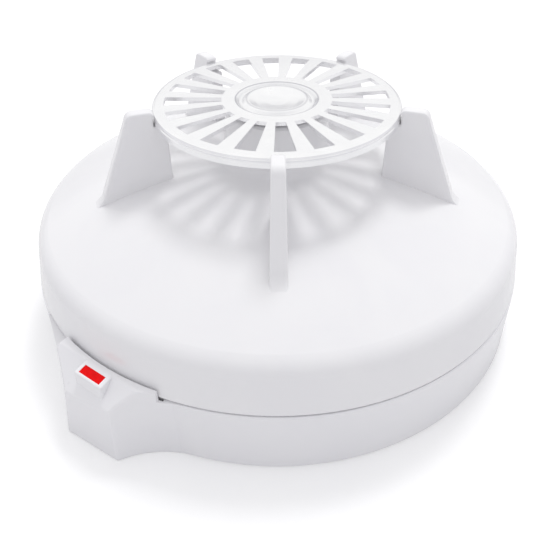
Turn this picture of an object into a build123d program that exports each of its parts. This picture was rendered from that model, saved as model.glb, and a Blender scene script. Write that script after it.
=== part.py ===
from build123d import *
import os
from math import sin, cos, degrees, radians, sqrt

# Point heat detector: a twist-lock sensing head on a round mounting base.
# Millimetres. +Z points out of the ceiling or wall face, into the room. The origin is on the
# detector's axis, on the flat back of the base. The front fin points along -Y.

# ---- overall ----
BASE_R = 50.0            # outer radius at the mounting face
BASE_TOP_R = 49.35       # outer radius at the parting line
BASE_H = 12.3            # height of the base
PART_GAP = 0.3           # gap between base and head at the parting line
WALL = 2.0               # plastic wall
FLOOR = 2.0              # plastic floor of the base
BASE_IN_R = 47.4         # inner radius of the base
LIP_EDGE = 0.25          # bevel on each side of the parting line and at the foot

# ---- head cover ----
HEAD_Z = BASE_H + PART_GAP
HEAD_R = 49.2            # outer radius at the lower edge
SHOULDER_R = 47.4        # outer radius just under the shoulder
DOME_TOP = 31.7          # height of the dome on the axis
DOME_RAD = 115.0         # spherical radius of the dome
SHOULDER_FILLET = 4.2
COVER_T = 2.0
DOME_C = DOME_TOP - DOME_RAD

# ---- central column ----
COL_TOP_R = 9.3
COL_FOOT_R = 10.5
COL_FOOT_ROUND = 1.6
COL_TOP_Z = 40.2
COL_T = 1.7
LID_T = 1.5
LID_HOLE_R = 4.3

# ---- fins that carry the collector plate ----
FIN_COUNT = 5
FIN_TOP_Z = 42.9
FIN_IN_R = 20.9          # inner edge, under the plate
FIN_POCKET_R = 23.05      # inner edge beside the plate's rim
FIN_FOOT_R = 34.2
FIN_FOOT_Z = 27.6
FIN_TOP_T = 2.3
FIN_FOOT_T = 2.9
FIN_EDGE = 0.35          # rounding of the fins' long edges

# ---- collector plate ----
PLATE_R = 22.95
PLATE_Z = 41.9           # top face
PLATE_T = 0.7
RIM_H = 1.7
SLOT_COUNT = 20
SLOT_IN_R = 10.2
SLOT_OUT_R = 20.7
SLOT_HALF_DEG = 5.0
SLOT_FIRST_DEG = -86.7   # centre of the first slot, from +X
DISH_R = 5.6
GROOVE_R = 7.65

# ---- indicator nose on the base ----
NOSE_DEG = 235.0
NOSE_D = 55.7            # middle of the front face, from the axis, at the mounting face
NOSE_HALF_W = 5.75
NOSE_SKEW = 0.35         # the front face stands out more at its left corner than at its right
NOSE_RISE = 15.0         # height of the upper outline that the nose is drawn between
NOSE_DRAFT_N = 2.25      # how far the front face leans back over that height
NOSE_DRAFT_W = 1.25
RIGHT_FLANK_LOW = ((51.0, 9.2), (47.4, 15.4))       # middle and inner end, at the mounting face
RIGHT_FLANK_HIGH = ((50.1, 8.2), (47.0, 13.9))      # the same at the upper outline
LEFT_FLANK_LOW = ((50.5, -13.2), (45.6, -20.6))
LEFT_FLANK_HIGH = ((49.5, -12.0), (45.4, -19.4))
COLLAR_Z = 14.5          # top of the collar that laps the head
COLLAR_R = 49.4          # inner radius of the collar
BEVEL_D = 50.0           # where the 45 degree top bevel starts
COLLAR_ENDS = (-10.2, 10.6)
SHADOW_GAP = 0.55        # trench between the collar and the base's wall
SHADOW_GAP_Z = 9.2       # its floor
WINDOW_N = 51.56         # centre of the indicator window, from the axis
WINDOW_W = 4.7
WINDOW_L = 1.56
WINDOW_SIDE = -0.35      # the window and its bezel stand a little to the left
BEZEL_WALL = 0.4
BEZEL_DRAFT = 0.25
LENS_LOW = 12.9
LENS_SINK = 0.08         # how far the lens lies below the bezel's face
LED_HALF = 2.3
LED_TOP = 12.7
LED_BOARD_N = (48.0, 52.3)
LED_BOARD_HALF = 3.85
LED_BOARD_LOW = 7.3
LED_BOARD_TOP = 8.9
SHELF_N = (48.2, 52.4)   # the two shelves that carry the indicator's board
SHELF_SIDE = (2.9, 4.05)
LEG_T = 0.5
LEG_SIDE = 1.25
LEG_STAND = 1.0          # how far the legs come through the board
CHIP_N = (48.5, 50.1)
CHIP_L = 3.2
CHIP_T = 0.8
TRENCH_OVERRUN = 0.9     # the trench runs past the collar at its right end
BEZEL_HALF = 3.1
BEZEL_TOP_IN = 14.55     # bezel top at its inner edge
BEZEL_SLOPE = 0.16
NOSE_EDGE = 0.7          # rounding of the nose's corners and bevel
COLLAR_EDGE = 0.3        # rounding of the collar's ends and the bezel

# ---- bayonet ----
LUG_DEGS = (20.0, 140.0, 260.0)
LUG_HALF = 8.0
KEEPER_HALF = 10.0
KEEPER_IN_R = 44.6
LEG_IN_R = 42.4
LEG_OUT_R = 44.2
LUG_OUT_R = 46.9
LUG_Z = 6.6
LUG_T = 1.9
KEEPER_Z = 8.8
KEEPER_T = 1.5

# ---- chassis of the head ----
CHASSIS_Z = 12.0
CHASSIS_T = 2.0
CHASSIS_R = 46.8
BOARD_Z = 17.0
BOARD_T = 1.6
BOARD_R = 37.6
BOSS_DEGS = (80.0, 200.0, 320.0)
BOSS_POS_R = 41.0
BOSS_R = 2.9
STAND_DEGS = (0.0, 110.0, 250.0)
STAND_POS_R = 29.0

# ---- terminals ----
TERM_DEGS = (45.0, 135.0, 225.0, 315.0)
TERM_SCREW_U = 24.0      # screw, from the axis
TERM_RIVET_U = 29.7
POST_U = (19.5, 36.5)
POST_HALF = 4.2
POST_Z = 5.0
STRIP_T = 0.8
STRIP_HALF = 3.75
CLIP_U = (31.9, 36.3)
CLIP_TOP = 9.5
BLADE_U = (32.2, 36.0)
BLADE_V = 6.0
BLADE_T = 0.8
BLADE_Z = 7.7
SCREW_R = 1.6
SCREW_FIT = 0.08         # radial running clearance round the terminal screw
SCREW_HEAD_R = 2.9
CLAMP_W = 6.6
CLAMP_Z = 5.87
CLAMP_T = 0.8
HEAD_GAP = 0.05

# ---- mounting ----
SLOT_X = 60.0            # spacing of the wide pair
SLOT_Y = 50.0            # spacing of the narrow pair
MOUNT_SLOT_L = 10.0
MOUNT_SLOT_W = 4.4
CABLE_R = 9.0

os.makedirs("parts", exist_ok=True)


def at(r, deg, z=0.0):
    """A point at a radius, angle and height."""
    return (r * cos(radians(deg)), r * sin(radians(deg)), z)


def turned(shape, deg):
    """Turn a shape about the detector's axis."""
    return Rot(0, 0, deg) * shape


def block(u0, u1, v0, v1, z0, z1):
    """A box between two radii, two side offsets and two heights."""
    size = Box(u1 - u0, v1 - v0, z1 - z0)
    return Pos((u0 + u1) / 2, (v0 + v1) / 2, (z0 + z1) / 2) * size


def rod(r, z0, z1, x=0.0, y=0.0):
    """An upright cylinder between two heights."""
    return Pos(x, y, (z0 + z1) / 2) * Cylinder(r, z1 - z0)


def cone(r0, r1, z0, z1):
    """An upright cone frustum between two heights."""
    return Pos(0, 0, (z0 + z1) / 2) * Cone(r0, r1, z1 - z0)


def spun(points):
    """A solid of revolution from a closed outline of radius and height."""
    line = Polyline(*[(r, 0, z) for r, z in points], close=True)
    return revolve(make_face(line), Axis.Z)


def side_prism(points, half):
    """An outline of radius and height, given a thickness to both sides."""
    line = Polyline(*[(r, 0, z) for r, z in points], close=True)
    return extrude(make_face(line), amount=half, dir=(0, 1, 0), both=True)


def sector(r0, r1, z0, z1, a0, a1):
    """A ring sector between two angles."""
    ring = rod(r1, z0, z1) - rod(r0, z0 - 1, z1 + 1)
    far = 4 * r1
    steps = 4
    corners = [(0, 0)]
    for i in range(steps + 1):
        a = radians(a0 + (a1 - a0) * i / steps)
        corners.append((far * cos(a), far * sin(a)))
    wedge = extrude(make_face(Polyline(*corners, close=True)), amount=2 * z1)
    return ring & wedge


def save(shape, name):
    """Write one piece, or one group of like pieces, to its own file."""
    shape.label = name
    export_step(shape, f"parts/{name}.step")


def group(shapes):
    """Like pieces that are kept together as separate solids."""
    solids = []
    for shape in shapes:
        solids.extend(shape.solids())
    return Compound(children=solids)


# ======================= mounting base =======================

def nearest_edges(shape, places):
    """The edges whose middles lie nearest to the given places."""
    found = []
    for place in places:
        found.append(min(shape.edges(), key=lambda edge: (edge.center() - Vector(*place)).length))
    return found


def nose_outline(lean, half, right, left, z):
    """The nose seen from above: a flat front, a hollow right flank and a nearly straight left one."""
    front_left = (NOSE_D - lean + NOSE_SKEW, -half, z)
    front_right = (NOSE_D - lean - NOSE_SKEW, half, z)
    face_line = Line(front_left, front_right)
    right_flank = ThreePointArc(front_right, (*right[0], z), (*right[1], z))
    back = Line((*right[1], z), (*left[1], z))
    left_flank = ThreePointArc((*left[1], z), (*left[0], z), front_left)
    return make_face(Curve() + [face_line, right_flank, back, left_flank])


def make_nose():
    """The raised nose that holds the indicator, with its 45 degree top and its window bezel."""
    low = nose_outline(0, NOSE_HALF_W, RIGHT_FLANK_LOW, LEFT_FLANK_LOW, 0)
    high = nose_outline(NOSE_DRAFT_N, NOSE_HALF_W - NOSE_DRAFT_W, RIGHT_FLANK_HIGH, LEFT_FLANK_HIGH, NOSE_RISE)
    body = loft([low, high])
    keep = side_prism([(40, 0), (60, 0), (60, COLLAR_Z - 60 + BEVEL_D),
                       (BEVEL_D, COLLAR_Z), (40, COLLAR_Z)], 30)
    body = body & keep
    # the collar that laps the head is shorter than the nose's foot
    left_end, right_end = COLLAR_ENDS
    body = body - block(35, 65, left_end - 30, left_end, BASE_H, COLLAR_Z + 1)
    body = body - block(35, 65, right_end, right_end + 30, BASE_H, COLLAR_Z + 1)
    corners = nearest_edges(body, [(55.2, -5.3, 5.1), (54.6, 5.3, 5.1), (54.0, 0, 10.5),
                                   (52.4, -7.6, 12.1), (51.9, 6.5, 12.6), (BEVEL_D, 0, COLLAR_Z)])
    body = fillet(corners, NOSE_EDGE)
    collar_ends = nearest_edges(body, [(50.3, left_end, 14.2), (50.7, left_end, 13.4),
                                       (49.0, right_end, 13.6)])
    body = fillet(collar_ends, COLLAR_EDGE)
    front = WINDOW_N + WINDOW_L / 2 + BEZEL_WALL
    foot = front + BEZEL_DRAFT
    top_out = BEZEL_TOP_IN - BEZEL_SLOPE * (front - BEVEL_D)
    bezel = side_prism([(BEVEL_D, 12.5), (BEVEL_D, BEZEL_TOP_IN), (front, top_out),
                        (foot, COLLAR_Z - foot + BEVEL_D), (foot - 1.2, 11.2)], BEZEL_HALF)
    rims = nearest_edges(bezel, [(52.8, 0, 14.1), (52.9, BEZEL_HALF, 12.8), (52.9, -BEZEL_HALF, 12.8),
                                 (51.4, BEZEL_HALF, 14.3), (51.4, -BEZEL_HALF, 14.3)])
    bezel = fillet(rims, COLLAR_EDGE)
    return body + Pos(0, WINDOW_SIDE, 0) * bezel


def make_base_shell():
    shell = spun([(0, 0), (BASE_R - LIP_EDGE, 0), (BASE_R, LIP_EDGE), (BASE_TOP_R, BASE_H - LIP_EDGE),
                  (BASE_TOP_R - LIP_EDGE, BASE_H), (0, BASE_H)])
    shell = shell + turned(make_nose(), NOSE_DEG)
    shell = shell - rod(BASE_IN_R, FLOOR, BASE_H + 0.01)
    # the head's wall stands inside the collar, above the parting line
    shell = shell - rod(COLLAR_R, BASE_H, COLLAR_Z + 2)
    # nose cavity and window shaft
    cavity = side_prism([(46.0, FLOOR), (52.6, FLOOR), (52.4, 9.5), (50.6, 11.3), (46.0, 11.3)], 4.0)
    shaft = block(WINDOW_N - WINDOW_L / 2, WINDOW_N + WINDOW_L / 2, WINDOW_SIDE - WINDOW_W / 2,
                  WINDOW_SIDE + WINDOW_W / 2, 8.5, 16.0)
    shell = shell - turned(cavity, NOSE_DEG) - turned(shaft, NOSE_DEG)
    for side in (-1, 1):
        edges = sorted((side * SHELF_SIDE[0], side * SHELF_SIDE[1]))
        ledge = block(*SHELF_N, *edges, FLOOR - 0.1, LED_BOARD_LOW)
        shell = shell + turned(ledge, NOSE_DEG)
    # a deep narrow trench behind the collar, which shows as a dark line
    left_turn = (COLLAR_ENDS[0] + 0.3) / COLLAR_R
    right_turn = (COLLAR_ENDS[1] + TRENCH_OVERRUN) / COLLAR_R
    shell = shell - sector(COLLAR_R - SHADOW_GAP, COLLAR_R, SHADOW_GAP_Z, COLLAR_Z + 1,
                           NOSE_DEG + degrees(left_turn), NOSE_DEG + degrees(right_turn))
    # bayonet keepers with their end stops
    for deg in LUG_DEGS:
        shell = shell + sector(KEEPER_IN_R, BASE_IN_R + 0.5, KEEPER_Z, KEEPER_Z + KEEPER_T,
                               deg - KEEPER_HALF, deg + KEEPER_HALF)
        shell = shell + sector(KEEPER_IN_R, BASE_IN_R + 0.5, LUG_Z, KEEPER_Z,
                               deg - KEEPER_HALF, deg - LUG_HALF - 0.6)
    # terminal posts, with screw and rivet holes
    for deg in TERM_DEGS:
        post = block(POST_U[0], POST_U[1], -POST_HALF, POST_HALF, FLOOR - 0.1, POST_Z)
        post = post - rod(SCREW_R + 0.4, 2.2, POST_Z + 1, TERM_SCREW_U)
        post = post - rod(1.1, 3.4, POST_Z + 1, TERM_RIVET_U)
        shell = shell + turned(post, deg)
    # cable entry with a raised lip
    shell = shell + rod(CABLE_R + 1.6, FLOOR - 0.1, FLOOR + 1.6)
    shell = shell - rod(CABLE_R, -1, FLOOR + 3)
    # mounting slots
    half = MOUNT_SLOT_W / 2
    slot_x = extrude(SlotOverall(MOUNT_SLOT_L, MOUNT_SLOT_W), amount=FLOOR + 2)
    for side in (-1, 1):
        shell = shell - Pos(side * SLOT_X / 2, 0, -1) * slot_x
        shell = shell - Pos(0, side * SLOT_Y / 2, -1) * Rot(0, 0, 90) * slot_x
    return shell


def make_window():
    """Red lens, flush in the sloping bezel."""
    n0 = WINDOW_N - WINDOW_L / 2
    n1 = WINDOW_N + WINDOW_L / 2
    top0 = BEZEL_TOP_IN - BEZEL_SLOPE * (n0 - BEVEL_D) - LENS_SINK
    top1 = BEZEL_TOP_IN - BEZEL_SLOPE * (n1 - BEVEL_D) - LENS_SINK
    lens = side_prism([(n0, LENS_LOW), (n1, LENS_LOW), (n1, top1), (n0, top0)], WINDOW_W / 2)
    return turned(Pos(0, WINDOW_SIDE, 0) * lens, NOSE_DEG)


def make_indicator_led():
    half_n = WINDOW_L / 2 - 0.12
    led = block(WINDOW_N - half_n, WINDOW_N + half_n, WINDOW_SIDE - LED_HALF, WINDOW_SIDE + LED_HALF,
                LED_BOARD_TOP, LED_TOP)
    half = LEG_T / 2
    for side in (-LEG_SIDE, LEG_SIDE):
        led = led + block(WINDOW_N - half, WINDOW_N + half, side - half, side + half,
                          LED_BOARD_LOW - LEG_STAND, LED_BOARD_TOP)
    return turned(led, NOSE_DEG)


def make_led_board():
    board = block(*LED_BOARD_N, -LED_BOARD_HALF, LED_BOARD_HALF, LED_BOARD_LOW, LED_BOARD_TOP)
    half = LEG_T / 2
    for side in (-LEG_SIDE, LEG_SIDE):
        board = board - block(WINDOW_N - half, WINDOW_N + half, side - half, side + half,
                              LED_BOARD_LOW - 1, LED_BOARD_TOP + 1)
    return turned(board, NOSE_DEG)


def make_led_resistor():
    chip = block(*CHIP_N, -CHIP_L / 2, CHIP_L / 2, LED_BOARD_LOW - CHIP_T, LED_BOARD_LOW)
    return turned(chip, NOSE_DEG)


def make_led_wires():
    """Two insulated wires, from the indicator's board to the two nearest contact strips."""
    r = 0.4
    out = []
    for side, term in ((-1, 225.0), (1, 315.0)):
        pts = [at(50.9, NOSE_DEG + side * 2.4, 7.3), at(50.9, NOSE_DEG + side * 2.4, 3.2)]
        pts.append(at(41.5, NOSE_DEG + side * 2.4, 3.2))
        run = 250.0
        while side > 0 and run < 305:
            pts.append(at(40.6, run, 3.2))
            run += 18.0
        pts.append(at(39.6, term + (-4.5 if side > 0 else 4.5), 5.4))
        end = at(1.0, term)
        tip_v = -2.5 if side > 0 else 2.5
        tip = (36.52 * end[0] - tip_v * end[1], 36.52 * end[1] + tip_v * end[0], 5.4)
        pts.append(tip)
        path = FilletPolyline(*pts, radius=0.9)
        section = Plane(origin=path @ 0, z_dir=path % 0) * Circle(r)
        out.append(sweep(section, path=path))
    return group(out)


def make_contact_clips():
    """Four bronze strips. Each ends in a folded spring leaf that presses on the head's blade."""
    out = []
    for deg in TERM_DEGS:
        strip = block(POST_U[0] + 0.5, POST_U[1], -STRIP_HALF, STRIP_HALF, POST_Z, POST_Z + STRIP_T)
        strip = strip - rod(SCREW_R + SCREW_FIT, POST_Z - 1, POST_Z + 2, TERM_SCREW_U)
        strip = strip - rod(1.1, POST_Z - 1, POST_Z + 2, TERM_RIVET_U)
        z0 = POST_Z + STRIP_T - 0.1
        leaf = CLIP_TOP - STRIP_T
        outline = [(-STRIP_HALF, z0), (-STRIP_HALF, CLIP_TOP), (2.6, CLIP_TOP), (3.6, CLIP_TOP + 0.7),
                   (4.1, CLIP_TOP + 0.1), (2.9, leaf), (STRIP_T - STRIP_HALF, leaf), (STRIP_T - STRIP_HALF, z0)]
        face = make_face(Polyline(*[(CLIP_U[0], v, z) for v, z in outline], close=True))
        clip = extrude(face, amount=CLIP_U[1] - CLIP_U[0], dir=(1, 0, 0))
        out.append(turned(strip + clip, deg))
    return group(out)


def make_clip_rivets():
    out = []
    for deg in TERM_DEGS:
        z = POST_Z + STRIP_T
        head = cone(1.9, 1.3, z, z + 0.8)
        rivet = Pos(TERM_RIVET_U, 0, 0) * (head + rod(1.1, 3.4, z))
        out.append(turned(rivet, deg))
    return group(out)


def make_clamp(deg):
    """Square wire clamp under one terminal screw."""
    half = CLAMP_W / 2
    top = CLAMP_Z + CLAMP_T
    plate = block(TERM_SCREW_U - half, TERM_SCREW_U + half, -half, half, CLAMP_Z, top)
    plate = chamfer(plate.edges().filter_by(Axis.Z), 0.8)
    plate = plate - rod(SCREW_R + SCREW_FIT, CLAMP_Z - 1, top + 1, TERM_SCREW_U)
    return turned(plate, deg)


def make_terminal_screw(deg):
    """Pan head screw with a cross slot."""
    z0 = CLAMP_Z + CLAMP_T + HEAD_GAP
    head = rod(SCREW_HEAD_R, z0, z0 + 1.8)
    head = fillet(head.edges().filter_by(GeomType.CIRCLE).sort_by(Axis.Z)[-1], 0.8)
    screw = head + rod(SCREW_R, 2.5, z0)
    for angle in (0, 90):
        screw = screw - Rot(0, 0, angle) * block(-1.7, 1.7, -0.35, 0.35, z0 + 0.9, z0 + 2)
    return turned(Pos(TERM_SCREW_U, 0, 0) * screw, deg)


# ======================= sensing head =======================

def dome_z(r, inset=0.0):
    """Height of the dome at a radius, or of its inner face."""
    return DOME_C + sqrt((DOME_RAD - inset) ** 2 - r * r)


def wall_to_dome(r_low, r_high, z_low, inset, shoulder, r_end):
    """Outline of a drafted wall, a rounded shoulder tangent to it, and the dome in to a radius."""
    foot = Vector(r_low, 0, z_low)
    up = (Vector(r_high, 0, dome_z(r_high, inset)) - foot).normalized()
    inward = Vector(-up.Z, 0, up.X)
    centre = Vector(0, 0, DOME_C)
    dome_r = DOME_RAD - inset
    start = foot + inward * shoulder - centre
    along = start.dot(up)
    rise = sqrt(along ** 2 - start.length ** 2 + (dome_r - shoulder) ** 2) - along
    hub = foot + inward * shoulder + up * rise
    on_wall = foot + up * rise
    outward = (hub - centre).normalized()
    on_dome = centre + outward * dome_r
    on_round = hub + (outward - inward).normalized() * shoulder
    mid = (on_dome.X + r_end) / 2
    wall = Line(foot, on_wall)
    bend = ThreePointArc(on_wall, on_round, on_dome)
    top = ThreePointArc(on_dome, (mid, 0, dome_z(mid, inset)), (r_end, 0, dome_z(r_end, inset)))
    return [wall, bend, top]


def make_fin():
    """One upright fin: a ledge and a snap bead on its inner edge hold the plate's rim."""
    ledge = PLATE_Z - RIM_H
    tip = FIN_TOP_Z
    root = COVER_T / 2
    inner = [(FIN_IN_R, dome_z(FIN_IN_R, root)), (FIN_IN_R, ledge), (FIN_POCKET_R, ledge),
             (FIN_POCKET_R, PLATE_Z + 0.05), (FIN_POCKET_R - 0.3, PLATE_Z + 0.25),
             (FIN_POCKET_R - 0.2, PLATE_Z + 0.6)]
    edge = Polyline(*[(r, 0, z) for r, z in inner])
    round_in = ThreePointArc((FIN_POCKET_R - 0.2, 0, PLATE_Z + 0.6), (23.25, 0, tip - 0.1), (23.9, 0, tip))
    top = Line((23.9, 0, tip), (26.3, 0, tip))
    round_out = ThreePointArc((26.3, 0, tip), (27.35, 0, tip - 0.35), (27.9, 0, tip - 1.3))
    slope = Line((27.9, 0, tip - 1.3), (FIN_FOOT_R - 0.4, 0, FIN_FOOT_Z + 0.9))
    foot_r = FIN_FOOT_R + 2.2
    flare = ThreePointArc((FIN_FOOT_R - 0.4, 0, FIN_FOOT_Z + 0.9), (FIN_FOOT_R + 0.75, 0, FIN_FOOT_Z - 1.0),
                          (foot_r, 0, dome_z(foot_r) - 0.1))
    drop = Line((foot_r, 0, dome_z(foot_r) - 0.1), (foot_r, 0, dome_z(foot_r, root)))
    mid_r = (foot_r + FIN_IN_R) / 2
    under = ThreePointArc((foot_r, 0, dome_z(foot_r, root)), (mid_r, 0, dome_z(mid_r, root)),
                          (FIN_IN_R, 0, dome_z(FIN_IN_R, root)))
    face = make_face(Curve() + [edge, round_in, top, round_out, slope, flare, drop, under])
    slab = extrude(face, amount=3, dir=(0, 1, 0), both=True)
    low = 20.0
    high = 45.0
    grow = (FIN_FOOT_T - FIN_TOP_T) / (FIN_TOP_Z - FIN_FOOT_Z)
    half_low = (FIN_TOP_T + grow * (FIN_TOP_Z - low)) / 2
    half_high = (FIN_TOP_T + grow * (FIN_TOP_Z - high)) / 2
    draft = [(-half_low, low), (half_low, low), (half_high, high), (-half_high, high)]
    wedge = extrude(make_face(Polyline(*[(0, v, z) for v, z in draft], close=True)), amount=60, dir=(1, 0, 0))
    fin = slab & wedge
    # every edge of the two side faces that stands clear of the dome
    edges = []
    for edge in fin.edges():
        middle = edge.center()
        if abs(middle.Y) > 0.5 and edge.bounding_box().max.Z > dome_z(middle.X) + 0.3:
            edges.append(edge)
    return fillet(edges, FIN_EDGE)


def make_head_cover():
    """One moulding: the domed cover, its hollow column with a holed lid, and the fins."""
    foot_r = COL_FOOT_R + COL_FOOT_ROUND
    outer = wall_to_dome(HEAD_R, SHOULDER_R, HEAD_Z + LIP_EDGE, 0, SHOULDER_FILLET, foot_r)
    column_in = COL_FOOT_R - COL_T
    inner = wall_to_dome(HEAD_R - WALL - 0.05, SHOULDER_R - WALL - 0.1, HEAD_Z, COVER_T,
                         SHOULDER_FILLET - WALL, column_in)
    lid_z = COL_TOP_Z - LID_T
    foot_z = dome_z(foot_r)
    bend = ThreePointArc((foot_r, 0, foot_z), (foot_r - 0.75 * COL_FOOT_ROUND, 0, foot_z + 0.35 * COL_FOOT_ROUND),
                         (COL_FOOT_R - 0.05, 0, foot_z + 1.1 * COL_FOOT_ROUND))
    stem = Polyline((COL_FOOT_R - 0.05, 0, foot_z + 1.1 * COL_FOOT_ROUND), (COL_TOP_R, 0, COL_TOP_Z - 0.4),
                    (COL_TOP_R - 0.4, 0, COL_TOP_Z), (LID_HOLE_R, 0, COL_TOP_Z), (LID_HOLE_R, 0, lid_z),
                    (COL_TOP_R - COL_T, 0, lid_z), (column_in, 0, dome_z(column_in, COVER_T)))
    rim = Polyline((HEAD_R, 0, HEAD_Z + LIP_EDGE), (HEAD_R - LIP_EDGE, 0, HEAD_Z),
                   (HEAD_R - WALL - 0.05, 0, HEAD_Z))
    cover = revolve(make_face(Curve() + outer + [bend, stem] + inner + [rim]), Axis.Z)
    fin = make_fin()
    for i in range(FIN_COUNT):
        cover = cover + turned(fin, -90 + i * 360 / FIN_COUNT)
    # screw bosses inside, down to the chassis
    mid_skin = Pos(0, 0, DOME_C) * Sphere(DOME_RAD - COVER_T / 2)
    for deg in BOSS_DEGS:
        boss = rod(BOSS_R, CHASSIS_Z + CHASSIS_T, 26.0, BOSS_POS_R) & mid_skin
        cover = cover + turned(boss, deg)
        cover = cover - turned(rod(1.2, CHASSIS_Z, 20.0, BOSS_POS_R), deg)
    return cover


def make_collector_plate():
    """Pressed metal disc: turned-down rim, a wheel of slots and a dished centre."""
    top = PLATE_Z
    low = PLATE_Z - PLATE_T
    rim_low = PLATE_Z - RIM_H
    outline = [(0, top - 0.65), (2.0, top - 0.58), (4.0, top - 0.35), (DISH_R - 0.4, top - 0.02), (DISH_R, top),
               (DISH_R + 0.4, top - 0.1), (DISH_R + 0.9, top - 0.45), (GROOVE_R - 0.7, top - 0.45),
               (GROOVE_R, top), (PLATE_R - 0.75, top), (PLATE_R - 0.35, top - 0.1), (PLATE_R - 0.15, top - 0.35),
               (PLATE_R - 0.15, top - 0.55), (PLATE_R - 0.28, top - 0.68), (PLATE_R - 0.05, top - 0.85),
               (PLATE_R, rim_low), (PLATE_R - PLATE_T, rim_low), (PLATE_R - PLATE_T, low),
               (GROOVE_R + 0.5, low), (GROOVE_R - 0.4, low - 0.45), (DISH_R + 0.5, low - 0.45),
               (DISH_R - 0.4, low - 0.1), (4.0, low - 0.35), (2.0, low - 0.58), (0, low - 0.65)]
    plate = spun(outline)
    pitch = 360 / SLOT_COUNT
    for i in range(SLOT_COUNT):
        mid = SLOT_FIRST_DEG + i * pitch
        plate = plate - sector(SLOT_IN_R, SLOT_OUT_R, low - 1, top + 1, mid - SLOT_HALF_DEG, mid + SLOT_HALF_DEG)
    return plate


def make_sensor_sleeve():
    """Plastic guide that holds the thermistor under the plate's centre."""
    sleeve = rod(LID_HOLE_R - 0.1, 34.0, 40.3) + rod(6.2, 37.2, COL_TOP_Z - LID_T)
    return sleeve - rod(2.4, 33.0, 41.0)


def make_thermistor_bead():
    return Pos(0, 0, 39.1) * Sphere(1.3)


def make_thermistor_leads():
    out = []
    for x in (-0.9, 0.9):
        out.append(rod(0.25, BOARD_Z + BOARD_T, 38.05, x))
    return group(out)


def make_chassis():
    """Round plate that closes the head, with standoffs and three bayonet lugs."""
    top = CHASSIS_Z + CHASSIS_T
    disc = rod(CHASSIS_R, CHASSIS_Z, top)
    rim_r = CHASSIS_R - 0.5
    disc = disc + (rod(rim_r, top - 0.1, top + 1.2) - rod(rim_r - 1.2, top - 1, top + 2))
    for deg in LUG_DEGS:
        disc = disc + sector(LEG_IN_R, LEG_OUT_R, LUG_Z, CHASSIS_Z + 0.1, deg - LUG_HALF, deg + LUG_HALF)
        disc = disc + sector(LEG_OUT_R - 0.2, LUG_OUT_R, LUG_Z, LUG_Z + LUG_T, deg - LUG_HALF, deg + LUG_HALF)
    for deg in STAND_DEGS:
        disc = disc + turned(rod(3.0, top - 0.1, BOARD_Z, STAND_POS_R), deg)
        disc = disc - turned(rod(0.9, top - 1, BOARD_Z + 1, STAND_POS_R), deg)
    for deg in BOSS_DEGS:
        disc = disc - turned(rod(1.4, CHASSIS_Z - 1, top + 2, BOSS_POS_R), deg)
        disc = disc - turned(rod(BOSS_R + 0.1, top, top + 2, BOSS_POS_R), deg)
    for deg in TERM_DEGS:
        slot = block(BLADE_U[0] - 0.2, BLADE_U[1] + 0.2, BLADE_V - 0.1, BLADE_V + BLADE_T + 0.1, 10, 16)
        disc = disc - turned(slot, deg)
    return disc


def make_chassis_screws():
    out = []
    for deg in BOSS_DEGS:
        head = rod(2.3, CHASSIS_Z - 1.3, CHASSIS_Z)
        head = chamfer(head.edges().filter_by(GeomType.CIRCLE).sort_by(Axis.Z)[0], 0.4)
        screw = head + rod(1.2, CHASSIS_Z, 19.0)
        screw = screw - block(-1.2, 1.2, -0.25, 0.25, CHASSIS_Z - 2, CHASSIS_Z - 0.6)
        screw = screw - block(-0.25, 0.25, -1.2, 1.2, CHASSIS_Z - 2, CHASSIS_Z - 0.6)
        out.append(turned(Pos(BOSS_POS_R, 0, 0) * screw, deg))
    return group(out)


def make_contact_blades():
    """Four brass blades. Each foot slides under a spring leaf as the head is turned."""
    out = []
    for deg in TERM_DEGS:
        leg = block(BLADE_U[0], BLADE_U[1], BLADE_V, BLADE_V + BLADE_T, BLADE_Z, 20.0)
        foot = block(BLADE_U[0], BLADE_U[1], -2.5, BLADE_V + BLADE_T, BLADE_Z, BLADE_Z + BLADE_T)
        foot = chamfer(foot.edges().filter_by(Axis.X).sort_by(Axis.Y)[0], 0.3)
        out.append(turned(leg + foot, deg))
    return group(out)


def make_circuit_board():
    board = rod(BOARD_R, BOARD_Z, BOARD_Z + BOARD_T)
    for deg in STAND_DEGS:
        board = board - turned(rod(1.1, BOARD_Z - 1, BOARD_Z + 3, STAND_POS_R), deg)
    for deg in TERM_DEGS:
        slot = block(BLADE_U[0] - 0.1, BLADE_U[1] + 0.1, BLADE_V - 0.1, BLADE_V + BLADE_T + 0.1, 16, 20)
        board = board - turned(slot, deg)
    return board


def make_board_screws():
    out = []
    top = BOARD_Z + BOARD_T
    for deg in STAND_DEGS:
        screw = rod(2.0, top, top + 1.2) + rod(0.9, 14.2, top)
        screw = screw - block(-1.6, 1.6, -0.25, 0.25, top + 0.6, top + 2)
        out.append(turned(Pos(STAND_POS_R, 0, 0) * screw, deg))
    return group(out)


def legged(body, points, r, z_top):
    """A component body with round legs down to the board."""
    for x, y in points:
        body = body + rod(r, BOARD_Z + BOARD_T, z_top, x, y)
    return body


def make_electrolytic():
    z = BOARD_Z + BOARD_T
    can = rod(3.2, z + 0.4, z + 8.0)
    can = fillet(can.edges().filter_by(GeomType.CIRCLE).sort_by(Axis.Z)[-1], 0.5)
    groove = rod(4.0, z + 1.6, z + 2.1) - rod(2.95, z + 1, z + 3)
    can = legged(can - groove, [(-1.2, 0), (1.2, 0)], 0.3, z + 1.0)
    return Pos(12, -14, 0) * can


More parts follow.
